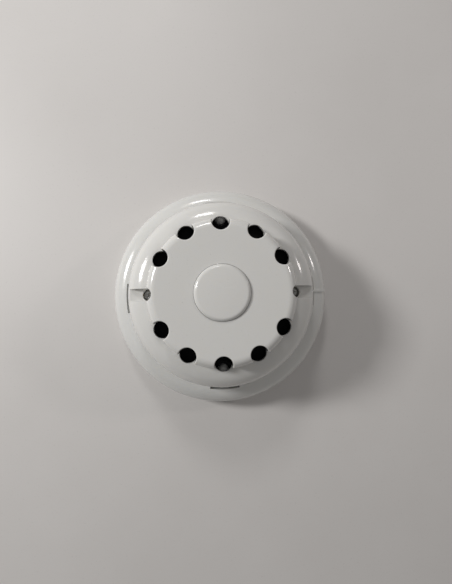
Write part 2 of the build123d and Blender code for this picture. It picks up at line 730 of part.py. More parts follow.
with BuildPart() as film_capacitor:
    with BuildSketch(Plane.XY.offset(BOARD_TOP)):
        with Locations(film_at):
            Rectangle(7.2, 3)
    extrude(amount=6.5)
    fillet(film_capacitor.edges().filter_by(Axis.Z), 0.4)
    fillet(film_capacitor.edges().group_by(Axis.Z)[-1], 0.4)
save(film_capacitor, "film_capacitor")

with BuildPart() as surge_suppressor:
    with Locations(Location((*suppressor_at, BOARD_TOP + 4.6), (90, 0, 0))):
        Cylinder(3.6, 3.2)
    fillet(surge_suppressor.edges().filter_by(GeomType.CIRCLE), 1.2)
save(surge_suppressor, "surge_suppressor")

with BuildPart() as through_leads:
    with BuildSketch(Plane.XY.offset(BOARD_LOW - tail)):
        with Locations(film_holes):
            Circle(wire_r)
    extrude(amount=BOARD_TOP - BOARD_LOW + tail)
    with BuildSketch(Plane.XY.offset(BOARD_LOW - tail)):
        with Locations(suppressor_holes):
            Circle(wire_r)
    extrude(amount=BOARD_TOP - BOARD_LOW + tail + 1.7)
save(through_leads, "through_leads")


def moulded_bodies(places, length, width, low, height):
    """Moulded package bodies, widest at half their height."""
    with BuildPart() as bodies:
        for half in (height / 2, -height / 2):
            with BuildSketch(Plane.XY.offset(low + height / 2)):
                with Locations(*places):
                    Rectangle(length, width)
            extrude(amount=half, taper=5)
    return bodies


def gull_legs(places, count, pitch, half_width, rise):
    """Two rows of flat legs along X, from each body's sides down to the board."""
    with BuildPart() as legs:
        for place_x, place_y in places:
            for side in (-1, 1):
                with BuildSketch(Plane.YZ.offset(place_x - 0.2)) as leg_side:
                    with BuildLine():
                        FilletPolyline(
                            (place_y + side * half_width, BOARD_TOP + rise),
                            (place_y + side * (half_width + 0.45), BOARD_TOP + rise),
                            (place_y + side * (half_width + 0.6), BOARD_TOP + 0.1),
                            (place_y + side * (half_width + 1.2), BOARD_TOP + 0.1),
                            radius=0.12,
                        )
                    trace(line_width=0.2)
                for step in range(count):
                    shift = (step - (count - 1) / 2) * pitch
                    extrude(leg_side.sketch.moved(Location((shift, 0, 0))), amount=0.4)
    return legs


transistor_places = [(9.0, 0.5), (16.0, -1.5), (-12.5, 0.0)]
save(moulded_bodies([chip_at], 8.6, 3.9, BOARD_TOP + 0.15, 1.5), "control_chip")
save(gull_legs([chip_at], 7, 1.27, 1.96, 0.9), "chip_legs")
save(moulded_bodies([bridge_at], 4.8, 4.0, BOARD_TOP + 0.15, 2.4), "bridge_rectifier")
save(gull_legs([bridge_at], 2, 2.54, 2.01, 1.35), "bridge_legs")
save(moulded_bodies(transistor_places, 2.9, 1.4, BOARD_TOP + 0.1, 1.0), "transistors")
save(gull_legs(transistor_places, 2, 1.9, 0.71, 0.6), "transistor_legs")

with BuildPart() as chip_resistors:
    with BuildSketch(Plane.XY.offset(BOARD_TOP)):
        with Locations(*[(-19 + 3.1 * step, 17.5) for step in range(4)]):
            Rectangle(2, 1.25)
        with Locations(*[(7.5 + 3.1 * step, 5.5) for step in range(3)]):
            Rectangle(2, 1.25)
        with Locations(*[(-21.5, -4.5 + 2.6 * step) for step in range(4)]):
            Rectangle(2, 1.25)
        with Locations((6.5, -8.0), (6.5, -10.6), (-4.5, -14.5), (-4.5, -12.0)):
            Rectangle(2, 1.25)
    extrude(amount=0.55)
save(chip_resistors, "chip_resistors")
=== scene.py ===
# %% [markdown]
# # A plug-in heat detector, finished in Blender
#
# The detector is two bodies. A white mounting base is screwed to the ceiling, and a white head
# twists into it. The CAD model already has every part at its true size, so this lesson loads it,
# gives each part the finish that it has in the hand, and models again the small parts that need
# more detail than the CAD model gives them: the lamps, the screws, the sensor beads, the
# capacitors and the solder.

# %% Load the fixed frame
import json
import math

import bmesh
import bpy
from mathutils import Matrix, Vector


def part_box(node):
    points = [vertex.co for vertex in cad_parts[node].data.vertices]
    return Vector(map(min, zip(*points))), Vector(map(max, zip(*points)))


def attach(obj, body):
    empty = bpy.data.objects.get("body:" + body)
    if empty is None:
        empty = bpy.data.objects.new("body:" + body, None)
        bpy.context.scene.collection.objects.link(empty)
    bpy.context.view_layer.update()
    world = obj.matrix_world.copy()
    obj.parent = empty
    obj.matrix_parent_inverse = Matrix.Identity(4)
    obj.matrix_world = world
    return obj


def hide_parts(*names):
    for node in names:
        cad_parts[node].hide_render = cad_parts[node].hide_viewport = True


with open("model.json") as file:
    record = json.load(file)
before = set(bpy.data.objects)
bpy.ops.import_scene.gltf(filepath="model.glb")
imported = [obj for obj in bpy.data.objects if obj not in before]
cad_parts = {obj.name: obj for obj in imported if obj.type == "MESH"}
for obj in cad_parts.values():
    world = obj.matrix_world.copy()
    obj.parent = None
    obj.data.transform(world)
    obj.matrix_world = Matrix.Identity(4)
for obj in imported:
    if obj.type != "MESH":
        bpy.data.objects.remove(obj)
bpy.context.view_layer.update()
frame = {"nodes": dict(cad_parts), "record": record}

MM = 0.001

# %% [markdown]
# ## Camera
#
# The detector lies on its back and the camera looks down at its face from a hand's length away. So
# near an object, the lens must be short: parts that stand high look larger than parts that lie low,
# and the drum hides its own walls. The camera stands a little to the 6 o'clock side and looks a
# little past the middle.

# %% Set the camera
camera_height = 182 * MM
camera_place = Vector((-3.0 * MM, -4.8 * MM, camera_height))
look_slope = Vector((0.0328, 0.0366, -1.0))
camera_roll = math.radians(1.3)

forward = look_slope.normalized()
rolled_up = Vector((math.sin(camera_roll), math.cos(camera_roll), 0))
right = forward.cross(rolled_up).normalized()
upward = right.cross(forward)

camera_data = bpy.data.cameras.new("studio_camera")
camera_data.sensor_width = 36.0
camera_data.lens = 20.9
camera_data.clip_start = 0.005
studio_camera = bpy.data.objects.new("studio_camera", camera_data)
bpy.context.scene.collection.objects.link(studio_camera)
turn = Matrix((right, upward, -forward)).transposed().to_4x4()
studio_camera.matrix_world = Matrix.Translation(camera_place) @ turn
bpy.context.scene.camera = studio_camera
print("camera to the back of the base:", round(camera_place.length / MM), "mm")

# %% [markdown]
# ## Light
#
# Glossy white plastic shows its shape by the lamps that it mirrors, and a small lamp makes a small,
# bright highlight and a clear shadow. The key lamp is a 12 cm soft box high on the left. A weaker
# one of the same size stands at the top, and one of 6 cm on the right keeps the shaded side
# readable. A dim, even sky fills the rest, so that the object looks right from every side.

# %% Set the lamps
def soft_box(name, place, aim, size, power, tint):
    """A square area lamp that looks from its place at a point."""
    lamp_data = bpy.data.lights.new(name, "AREA")
    lamp_data.shape = "SQUARE"
    lamp_data.size = size
    lamp_data.energy = power
    lamp_data.color = tint
    lamp = bpy.data.objects.new(name, lamp_data)
    bpy.context.scene.collection.objects.link(lamp)
    lamp.location = place
    lamp.rotation_euler = (Vector(aim) - Vector(place)).to_track_quat("-Z", "Y").to_euler()
    return lamp


middle = (0, 0, 0.03)
soft_box("key_box", (-0.55, 0.20, 0.43), middle, 0.12, 2.75, (1.0, 0.99, 0.975))
soft_box("top_box", (-0.10, 0.56, 0.46), middle, 0.12, 0.80, (1.0, 0.985, 0.97))
soft_box("right_box", (0.52, 0.19, 0.36), middle, 0.06, 0.31, (1.0, 0.93, 0.91))

sky = bpy.data.worlds.new("soft_sky")
sky.use_nodes = True
sky.node_tree.nodes["Background"].inputs["Color"].default_value = (1.0, 0.985, 0.965, 1)
sky.node_tree.nodes["Background"].inputs["Strength"].default_value = 0.168
bpy.context.scene.world = sky
bpy.context.scene.view_settings.view_transform = "Standard"

# %% [markdown]
# ## A short hand for node trees
#
# Every finish below is a small node tree. These helpers add one node and feed its inputs by name,
# add a maths step, or blend two colours, so that a material reads as a list of what it is made of.
# A value that is the same all over a surface is set straight on the shader's own socket.

# %% Node helpers
def feed(tree, socket, value):
    """Link a socket to another node's output, or give it a value of its own."""
    if isinstance(value, bpy.types.NodeSocket):
        tree.links.new(value, socket)
    else:
        socket.default_value = value


def add_node(tree, kind, inputs=None, **settings):
    """Add a node, set its settings, and feed its inputs by name."""
    new = tree.nodes.new(kind)
    for name, value in settings.items():
        setattr(new, name, value)
    for name, value in (inputs or {}).items():
        feed(tree, new.inputs[name], value)
    return new


def maths(tree, operation, first, second=0.0, limit=False):
    """One maths step, with its result held between 0 and 1 if limit is set."""
    step = add_node(tree, "ShaderNodeMath", operation=operation, use_clamp=limit)
    feed(tree, step.inputs[0], first)
    feed(tree, step.inputs[1], second)
    return step.outputs[0]


def vector_maths(tree, operation, *values):
    """One vector maths step. Gives its outputs, because a length comes out at a socket of its own."""
    step = add_node(tree, "ShaderNodeVectorMath", operation=operation)
    for socket, value in zip(step.inputs, values):
        feed(tree, socket, value)
    return step.outputs


def noise(tree, vector, scale, detail=3.0, roughness=0.5):
    """Fractal noise on a vector, as a value near 0.5."""
    inputs = {"Vector": vector, "Scale": scale, "Detail": detail, "Roughness": roughness}
    return add_node(tree, "ShaderNodeTexNoise", inputs).outputs["Fac"]


def ramp(tree, value, low, high, from_value=0.0, to_value=1.0):
    """Spread the band from low to high over the whole range from one value to another."""
    inputs = {
        "Value": value,
        "From Min": low,
        "From Max": high,
        "To Min": from_value,
        "To Max": to_value,
    }
    return add_node(tree, "ShaderNodeMapRange", inputs).outputs["Result"]


def tint_by(tree, mask, first, second):
    """Blend two colours by a mask. A Mix node's sockets share names, so they go by number."""
    mixer = add_node(tree, "ShaderNodeMix", data_type="RGBA")
    for number, value in ((0, mask), (6, first), (7, second)):
        feed(tree, mixer.inputs[number], value)
    return mixer.outputs[2]


def new_group(name, inputs, outputs):
    """A shader node group with named sockets. Gives the group, its input node and output node."""
    group = bpy.data.node_groups.new(name, "ShaderNodeTree")
    for socket_name, kind, value in inputs:
        socket = group.interface.new_socket(socket_name, in_out="INPUT", socket_type=kind)
        if value is not None:
            socket.default_value = value
    for socket_name, kind in outputs:
        group.interface.new_socket(socket_name, in_out="OUTPUT", socket_type=kind)
    return group, group.nodes.new("NodeGroupInput"), group.nodes.new("NodeGroupOutput")


def use_group(tree, group, **inputs):
    """Place a group in a tree. A word joined by _ in the call is a socket name with spaces."""
    placed = add_node(tree, "ShaderNodeGroup", node_tree=group)
    for name, value in inputs.items():
        feed(tree, placed.inputs[name.replace("_", " ")], value)
    return placed


FLOAT, COLOUR, VECTOR = "NodeSocketFloat", "NodeSocketColor", "NodeSocketVector"

# %% [markdown]
# ## Effect: fine scratches
#
# A detector is pulled off its base, dropped in a tool bag and wiped with a cloth. That leaves
# hair-fine scratches that only show where the surface mirrors a lamp. A noise-warped grid of
# cells has long straight cell borders, and a narrow band at the border makes a thin line. Two
# stretched copies of it at different angles give scratches that cross.

# %% Build the scratch group
def build_scratches():
    group, given, result = new_group(
        "fine_scratches",
        [("Vector", VECTOR, None), ("Spacing", FLOAT, 60.0), ("Width", FLOAT, 0.03)],
        [("Mask", FLOAT)],
    )
    masks = []
    for angle, stretch in ((0.5, 9.0), (2.1, 7.0)):
        lie = {
            "Vector": given.outputs["Vector"],
            "Rotation": (0.3, 0.2, angle),
            "Scale": (1.0, stretch, 1.0),
        }
        laid = add_node(group, "ShaderNodeMapping", lie).outputs["Vector"]
        cells = {"Vector": laid, "Scale": given.outputs["Spacing"]}
        border = add_node(group, "ShaderNodeTexVoronoi", cells, feature="DISTANCE_TO_EDGE")
        inside = maths(group, "DIVIDE", border.outputs["Distance"], given.outputs["Width"])
        line = maths(group, "SUBTRACT", 1.0, inside, limit=True)
        broken = ramp(group, noise(group, laid, 90.0, 2.0), 0.52, 0.62)
        masks.append(maths(group, "MULTIPLY", line, broken))
    both = maths(group, "MAXIMUM", masks[0], masks[1])
    group.links.new(both, result.inputs["Mask"])
    return group


fine_scratches = build_scratches()
print("group:", fine_scratches.name)

# %% [markdown]
# ## Effect: dust and painted crease shade
#
# Dust and finger grease gather in a ring where the head enters the base and round the drum's
# root. These creases also lie in shade, so the darkening here is dust and painted shade together.
# Each ring is a circle about the axis. So the mask is the distance to a circle of one radius at
# one height, broken up by noise.

# %% Build the dust and painted shade group
def build_dust_and_crease_shade():
    group, given, result = new_group(
        "dust_and_crease_shade",
        [
            ("Vector", VECTOR, None),
            ("Radius", FLOAT, 0.04),
            ("Height", FLOAT, 0.02),
            ("Spread", FLOAT, 0.003),
        ],
        [("Mask", FLOAT)],
    )
    vector = given.outputs["Vector"]
    flat = vector_maths(group, "MULTIPLY", vector, (1, 1, 0))["Vector"]
    from_axis = vector_maths(group, "LENGTH", flat)["Value"]
    height = add_node(group, "ShaderNodeSeparateXYZ", {"Vector": vector}).outputs["Z"]
    aside = maths(group, "SUBTRACT", from_axis, given.outputs["Radius"])
    above = maths(group, "SUBTRACT", height, given.outputs["Height"])
    aside_squared = maths(group, "MULTIPLY", aside, aside)
    above_squared = maths(group, "MULTIPLY", above, above)
    distance = maths(group, "SQRT", maths(group, "ADD", aside_squared, above_squared))
    spreads_away = maths(group, "DIVIDE", distance, given.outputs["Spread"])
    ring = maths(group, "SUBTRACT", 1.0, spreads_away, limit=True)
    patches = ramp(group, noise(group, vector, 230.0, 5.0, 0.6), 0.35, 0.72)
    group.links.new(maths(group, "MULTIPLY", ring, patches), result.inputs["Mask"])
    return group


dust_and_crease_shade = build_dust_and_crease_shade()
print("group:", dust_and_crease_shade.name)

# %% [markdown]
# ## Effect: moulded skin
#
# Injection-moulded ABS is never one flat colour. It is a shade warmer where it has aged, cloudy on
# the scale of a finger's width, speckled with dust specks, and its gloss wanders where it was
# touched. The surface has the faint waviness of orange peel and the fine grain of the mould. This
# group gives all of that as a colour, a roughness and a height.

# %% Build the moulded skin group
def build_moulded_skin():
    group, given, result = new_group(
        "moulded_skin",
        [
            ("Vector", VECTOR, None),
            ("Fresh", COLOUR, (0.8, 0.8, 0.8, 1)),
            ("Aged", COLOUR, (0.7, 0.68, 0.6, 1)),
            ("Gloss Roughness", FLOAT, 0.2),
            ("Grain", FLOAT, 0.5),
            ("Scratches", FLOAT, 0.5),
        ],
        [("Colour", COLOUR), ("Roughness", FLOAT), ("Height", FLOAT)],
    )
    vector = given.outputs["Vector"]
    clouds = ramp(group, noise(group, vector, 22.0, 2.0, 0.5), 0.3, 0.75, 0.0, 0.5)
    aged = tint_by(group, clouds, given.outputs["Fresh"], given.outputs["Aged"])
    specks = ramp(group, noise(group, vector, 1900.0, 2.0, 0.6), 0.70, 0.76)
    soiled = tint_by(group, maths(group, "MULTIPLY", specks, 0.30), aged, (0.22, 0.20, 0.17, 1))
    group.links.new(soiled, result.inputs["Colour"])

    lines = use_group(group, fine_scratches, Vector=vector, Spacing=75.0, Width=0.02)
    scratch = maths(group, "MULTIPLY", lines.outputs["Mask"], given.outputs["Scratches"])
    touched = ramp(group, noise(group, vector, 60.0, 4.0, 0.55), 0.40, 0.75, 0.0, 0.07)
    rough = maths(group, "ADD", given.outputs["Gloss Roughness"], touched)
    rough = maths(group, "ADD", rough, maths(group, "MULTIPLY", scratch, 0.25), limit=True)
    group.links.new(rough, result.inputs["Roughness"])

    peel = maths(group, "MULTIPLY", noise(group, vector, 210.0, 2.0), 0.8)
    grain = maths(group, "MULTIPLY", noise(group, vector, 2600.0, 2.0), given.outputs["Grain"])
    height = maths(group, "ADD", peel, maths(group, "MULTIPLY", grain, 0.3))
    height = maths(group, "SUBTRACT", height, maths(group, "MULTIPLY", scratch, 0.5))
    group.links.new(height, result.inputs["Height"])
    return group


moulded_skin = build_moulded_skin()
print("group:", moulded_skin.name, "with", len(moulded_skin.nodes), "nodes")

# %% [markdown]
# ## Effect: worn metal
#
# Plated strip, screws and pins share one effect: a drawn grain along one direction, dull patches of
# oxide and a few bright rubbed spots.

# %% Build the worn metal group
def build_worn_metal():
    group, given, result = new_group(
        "worn_metal",
        [
            ("Vector", VECTOR, None),
            ("Bright", COLOUR, (0.8, 0.8, 0.8, 1)),
            ("Dull", COLOUR, (0.4, 0.4, 0.4, 1)),
            ("Polish Roughness", FLOAT, 0.25),
            ("Draw", VECTOR, (1.0, 1.0, 1.0)),
        ],
        [("Colour", COLOUR), ("Roughness", FLOAT), ("Height", FLOAT)],
    )
    vector = given.outputs["Vector"]
    drawn = vector_maths(group, "MULTIPLY", vector, given.outputs["Draw"])["Vector"]
    lines = noise(group, drawn, 900.0, 3.0, 0.7)
    oxide = ramp(group, noise(group, vector, 420.0, 5.0, 0.6), 0.45, 0.66)
    dulled = maths(group, "MULTIPLY", oxide, 0.7)
    colour = tint_by(group, dulled, given.outputs["Bright"], given.outputs["Dull"])
    group.links.new(colour, result.inputs["Colour"])
    rough = maths(group, "ADD", given.outputs["Polish Roughness"], maths(group, "MULTIPLY", oxide, 0.2))
    rough = maths(group, "ADD", rough, ramp(group, lines, 0.35, 0.7, -0.05, 0.12), limit=True)
    group.links.new(rough, result.inputs["Roughness"])
    height = maths(group, "ADD", lines, maths(group, "MULTIPLY", oxide, 0.4))
    group.links.new(height, result.inputs["Height"])
    return group


worn_metal = build_worn_metal()
print("group:", worn_metal.name)

# %% [markdown]
# ## Materials
#
# A material is one Principled shader, with the group's colour, roughness and height fed into it.
# The clear coat, the index of refraction and the specular level are the same all over, so they are
# set on the shader itself.

# %% Material helpers
def new_material(name):
    """An empty node material. Gives the material, its tree, its shader and its Object coordinates."""
    material = bpy.data.materials.new(name)
    material.use_nodes = True
    tree = material.node_tree
    shader = tree.nodes["Principled BSDF"]
    place = tree.nodes.new("ShaderNodeTexCoord").outputs["Object"]
    return material, tree, shader, place


def bump(tree, shader, height, distance, strength=1.0):
    """Turn a height into the shader's normal. The distance is the height's depth in metres."""
    inputs = {"Height": height, "Distance": distance, "Strength": strength}
    raised = add_node(tree, "ShaderNodeBump", inputs)
    tree.links.new(raised.outputs["Normal"], shader.inputs["Normal"])


def moulded_plastic(
    name, fresh, aged, roughness, grain, scratches, depth, dust_and_shade_rings=(), coat=0.0, glow=0.0
):
    """Moulded plastic, with rings of dust and painted crease shade about the axis as (radius, height,
    spread, strength) in mm.

    The glow is how much light goes in, spreads by about a millimetre and comes out again."""
    material, tree, shader, place = new_material(name)
    skin = use_group(
        tree,
        moulded_skin,
        Vector=place,
        Fresh=(*fresh, 1),
        Aged=(*aged, 1),
        Gloss_Roughness=roughness,
        Grain=grain,
        Scratches=scratches,
    )
    colour, rough = skin.outputs["Colour"], skin.outputs["Roughness"]
    # Each ring darkens a crease towards brown grey. This is dust, and it is also painted shade where the
    # crease lies in shade.
    for radius, height, spread, strength in dust_and_shade_rings:
        ring = {"Radius": radius * MM, "Height": height * MM, "Spread": spread * MM}
        crease_dust_and_shade = use_group(tree, dust_and_crease_shade, Vector=place, **ring)
        mask = maths(tree, "MULTIPLY", crease_dust_and_shade.outputs["Mask"], strength)
        colour = tint_by(tree, mask, colour, (0.34, 0.31, 0.27, 1))
        rough = maths(tree, "ADD", rough, maths(tree, "MULTIPLY", mask, 0.4), limit=True)
    tree.links.new(colour, shader.inputs["Base Color"])
    tree.links.new(rough, shader.inputs["Roughness"])
    bump(tree, shader, skin.outputs["Height"], depth)
    shader.inputs["IOR"].default_value = 1.53
    shader.inputs["Coat Weight"].default_value = coat
    shader.inputs["Coat Roughness"].default_value = 0.12
    if glow:
        shader.inputs["Subsurface Weight"].default_value = glow
        shader.inputs["Subsurface Radius"].default_value = (1.0, 0.95, 0.85)
        shader.inputs["Subsurface Scale"].default_value = 0.0015
    return material


def plated_metal(name, bright, dull, roughness, draw=(1.0, 1.0, 1.0), depth=6e-6):
    """Plated or plain metal with a drawn grain."""
    material, tree, shader, place = new_material(name)
    metal = use_group(
        tree,
        worn_metal,
        Vector=place,
        Bright=(*bright, 1),
        Dull=(*dull, 1),
        Polish_Roughness=roughness,
        Draw=draw,
    )
    tree.links.new(metal.outputs["Colour"], shader.inputs["Base Color"])
    tree.links.new(metal.outputs["Roughness"], shader.inputs["Roughness"])
    bump(tree, shader, metal.outputs["Height"], depth)
    shader.inputs["Metallic"].default_value = 1.0
    return material


# %% [markdown]
# ## The white mouldings
#
# Cover, cap, base and rear housing are all white ABS, but from different moulds and batches, so
# each has its own white. The cover is the glossiest, the cap is the whitest, and the base comes
# from a slightly greyer batch. The rear housing faces the ceiling and was left with a dull skin.
# Rings of dust and painted shade darken the creases: the drum's root, the seam between head and
# base, the cap's seat and the base's foot. The air guide is a matt black moulding, set darker and
# duller than black plastic so that it stands in for the shade in the ports.

# %% White plastics
# The rings in these calls darken the creases with dust and painted shade.
cover_white = moulded_plastic(
    "cover_white", (0.80, 0.795, 0.775), (0.785, 0.775, 0.745), 0.11, 0.4, 0.6, 7e-6,
    dust_and_shade_rings=((31.3, 37.0, 1.6, 0.3), (42.0, 16.0, 2.0, 0.5)), coat=0.1, glow=0.25,
)
cap_white = moulded_plastic(
    "cap_white", (0.815, 0.81, 0.79), (0.80, 0.79, 0.76), 0.15, 0.3, 0.7, 7e-6,
    dust_and_shade_rings=((11.7, 45.4, 0.5, 0.3),), coat=0.1, glow=0.25,
)
base_white = moulded_plastic(
    "base_white", (0.785, 0.785, 0.77), (0.765, 0.76, 0.73), 0.13, 0.5, 0.5, 8e-6,
    dust_and_shade_rings=((42.4, 16.3, 1.6, 0.4), (53.4, 0.3, 1.2, 0.4)), coat=0.1, glow=0.25,
)
housing_white = moulded_plastic(
    "housing_white", (0.76, 0.76, 0.74), (0.71, 0.70, 0.66), 0.30, 0.8, 0.3, 1.2e-5, glow=0.25,
)
# The air guide is black plastic. Its colour and specular level are set darker than black plastic is, so
# that it stands in for the deep shade inside the ports. This part is painted shade.
guide_black = moulded_plastic(
    "guide_black", (0.006, 0.006, 0.0065), (0.010, 0.0095, 0.009), 0.56, 1.0, 0.3, 2.0e-5,
)
guide_black.node_tree.nodes["Principled BSDF"].inputs["Specular IOR Level"].default_value = 0.15
case_plastics = (cover_white, cap_white, base_white, housing_white, guide_black)
print("white and black plastics:", [plastic.name for plastic in case_plastics])

# %% [markdown]
# ## Metals
#
# The contact strip is nickel-plated bronze with a fine rolling grain. The screws are zinc-plated
# steel, a little cloudy. The pins and rivets are turned brass, and the component leads are tinned
# copper. Solder is smoother than all of them.

# %% Metals
contact_metal = plated_metal(
    "contact_metal", (0.72, 0.69, 0.63), (0.45, 0.41, 0.34), 0.24, draw=(1.0, 14.0, 1.0)
)
plated_steel = plated_metal("plated_steel", (0.70, 0.70, 0.66), (0.42, 0.42, 0.38), 0.28)
screw_steel = plated_metal(
    "screw_steel", (0.62, 0.62, 0.61), (0.30, 0.30, 0.29), 0.26, draw=(1.0, 1.0, 8.0)
)
rivet_brass = plated_metal(
    "rivet_brass", (0.80, 0.60, 0.30), (0.45, 0.31, 0.14), 0.25, draw=(1.0, 1.0, 10.0)
)
tinned_wire = plated_metal(
    "tinned_wire", (0.78, 0.78, 0.76), (0.50, 0.50, 0.48), 0.30, draw=(1.0, 1.0, 0.2)
)
solder = plated_metal("solder", (0.80, 0.80, 0.80), (0.56, 0.56, 0.55), 0.16, depth=2e-5)
metals = (contact_metal, plated_steel, screw_steel, rivet_brass, tinned_wire, solder)
print("metals:", [metal.name for metal in metals])

# %% [markdown]
# ## Board and components
#
# The board is green solder mask over glass cloth. The weave shows as a faint crossed ripple. The
# copper tracks show through as lighter, raised bands: square-cornered cells divide the board into
# areas, and in each area the tracks run one way, or the other, or there are none. Packages are
# moulded in black epoxy, which is matt and gritty. Dipped parts are glossy and slightly uneven.

# %% Board and component finishes
def solder_mask(name):
    """Green mask over copper tracks and glass weave."""
    material, tree, shader, place = new_material(name)
    weave = []
    for direction in ("X", "Y"):
        inputs = {"Vector": place, "Scale": 260.0, "Distortion": 0.6, "Detail": 1.0}
        weave.append(add_node(tree, "ShaderNodeTexWave", inputs, bands_direction=direction).outputs["Fac"])
    cloth = maths(tree, "MULTIPLY", weave[0], weave[1])
    areas = {"Vector": place, "Scale": 130.0, "Randomness": 0.85}
    area = add_node(tree, "ShaderNodeTexVoronoi", areas, distance="CHEBYCHEV").outputs["Color"]
    chance = add_node(tree, "ShaderNodeSeparateColor", {"Color": area}).outputs["Red"]
    tracks = 0.0
    for direction, low, high in (("X", 0.0, 0.38), ("Y", 0.38, 0.76)):
        inputs = {"Vector": place, "Scale": 210.0}
        bands = add_node(tree, "ShaderNodeTexWave", inputs, bands_direction=direction).outputs["Fac"]
        above_low = maths(tree, "GREATER_THAN", chance, low)
        chosen = maths(tree, "MULTIPLY", above_low, maths(tree, "LESS_THAN", chance, high))
        laid = maths(tree, "MULTIPLY", ramp(tree, bands, 0.62, 0.72), chosen)
        tracks = maths(tree, "ADD", laid, tracks)
    clouds = ramp(tree, noise(tree, place, 60.0, 4.0), 0.4, 0.65)
    green = tint_by(tree, clouds, (0.012, 0.10, 0.035, 1), (0.02, 0.13, 0.05, 1))
    green = tint_by(tree, maths(tree, "MULTIPLY", tracks, 0.6), green, (0.045, 0.21, 0.08, 1))
    tree.links.new(green, shader.inputs["Base Color"])
    gloss = ramp(tree, noise(tree, place, 300.0, 4.0), 0.35, 0.7, 0.18, 0.36)
    tree.links.new(gloss, shader.inputs["Roughness"])
    bump(tree, shader, maths(tree, "ADD", tracks, maths(tree, "MULTIPLY", cloth, 0.25)), 3e-5)
    shader.inputs["Coat Weight"].default_value = 0.5
    shader.inputs["Coat Roughness"].default_value = 0.15
    return material


board_green = solder_mask("board_green")
package_black = moulded_plastic(
    "package_black", (0.02, 0.02, 0.021), (0.035, 0.034, 0.033), 0.55, 1.6, 0.2, 2.0e-5
)
spacer_nylon = moulded_plastic(
    "spacer_nylon", (0.72, 0.70, 0.62), (0.66, 0.62, 0.50), 0.42, 0.8, 0.2, 1.5e-5
)
bead_epoxy = moulded_plastic(
    "bead_epoxy", (0.016, 0.015, 0.014), (0.03, 0.026, 0.022), 0.16, 0.2, 0.1, 5e-5, coat=0.8
)
film_red = moulded_plastic(
    "film_red", (0.42, 0.035, 0.02), (0.34, 0.03, 0.02), 0.18, 0.2, 0.2, 6e-5, coat=0.7
)
suppressor_blue = moulded_plastic(
    "suppressor_blue", (0.03, 0.10, 0.38), (0.02, 0.07, 0.28), 0.2, 0.2, 0.2, 6e-5, coat=0.7
)
resistor_ceramic = moulded_plastic(
    "resistor_ceramic", (0.03, 0.03, 0.035), (0.06, 0.06, 0.065), 0.22, 0.3, 0.2, 8e-6
)
capacitor_sleeve = moulded_plastic(
    "capacitor_sleeve", (0.015, 0.025, 0.07), (0.02, 0.03, 0.09), 0.25, 0.5, 0.4, 1.5e-5
)
print("board finish:", board_green.name, "with", len(board_green.node_tree.nodes), "nodes")

# %% [markdown]
# ## Lamp lens
#
# The alarm lamps are cast in milky, diffusing epoxy, so that they glow evenly when they are lit and
# look white when they aren't. The light goes in, spreads by about a millimetre and comes out again,
# which is subsurface scattering, and only a little passes straight through. The skin is glossy and
# slightly uneven.

# %% Lens epoxy
def lens_epoxy(name):
    """Milky epoxy that lets a little light through."""
    material, tree, shader, place = new_material(name)
    clouds = ramp(tree, noise(tree, place, 500.0, 3.0), 0.4, 0.6)
    milky = tint_by(tree, clouds, (0.95, 0.95, 0.94, 1), (0.88, 0.88, 0.86, 1))
    tree.links.new(milky, shader.inputs["Base Color"])
    gloss = ramp(tree, noise(tree, place, 260.0, 3.0), 0.4, 0.65, 0.10, 0.24)
    tree.links.new(gloss, shader.inputs["Roughness"])
    bump(tree, shader, noise(tree, place, 340.0, 2.0), 1.2e-5)
    shader.inputs["Transmission Weight"].default_value = 0.06
    shader.inputs["Subsurface Weight"].default_value = 0.4
    shader.inputs["Subsurface Radius"].default_value = (1.0, 1.0, 1.0)
    shader.inputs["Subsurface Scale"].default_value = 0.001
    shader.inputs["IOR"].default_value = 1.52
    return material


led_lens = lens_epoxy("led_lens")
print("lens finish:", led_lens.name)

# %% [markdown]
# ## Dress the CAD parts
#
# A CAD part whose shape is right is kept. Its material slots take the finish that the record names
# for it. The meshes themselves aren't touched.

# %% Give every CAD part its finish
finishes = {
    "base_white": base_white,
    "contact_metal": contact_metal,
    "rivet_brass": rivet_brass,
    "plated_steel": plated_steel,
    "cover_white": cover_white,
    "cap_white": cap_white,
    "screw_steel": screw_steel,
    "guide_black": guide_black,
    "housing_white": housing_white,
    "board_green": board_green,
    "bead_epoxy": bead_epoxy,
    "tinned_wire": tinned_wire,
    "led_lens": led_lens,
    "spacer_nylon": spacer_nylon,
    "package_black": package_black,
    "resistor_ceramic": resistor_ceramic,
    "capacitor_sleeve": capacitor_sleeve,
    "film_red": film_red,
    "suppressor_blue": suppressor_blue,
}
for subpart in frame["record"]["subparts"]:
    cad_part = frame["nodes"][subpart["node"]]
    finish = finishes[subpart["material_slot"]]
    for slot in cad_part.material_slots:
        slot.material = finish

# %% [markdown]
# ## Shaping by hand, in code
#
# The next parts get more detail than the CAD model gives them. Each one starts as a primitive and
# is shaped in edit mode, as you would do it with the mouse. A screw, a lamp and a capacitor are all
# turned parts, so the first helper starts from one filled circle and pulls it up ring by ring: it
# extrudes the top face, then scales it to the next radius. The spin tool could turn a drawn
# outline instead, but it leaves an open seam and open poles to clean up, and this way leaves none.

# %% Shaping helpers
def deselect_all():
    """Let go of every object, the CAD parts too."""
    bpy.ops.object.select_all(action="DESELECT")


def take(piece):
    """Make a piece the only one selected, and active."""
    deselect_all()
    piece.select_set(True)
    bpy.context.view_layer.objects.active = piece
    return piece


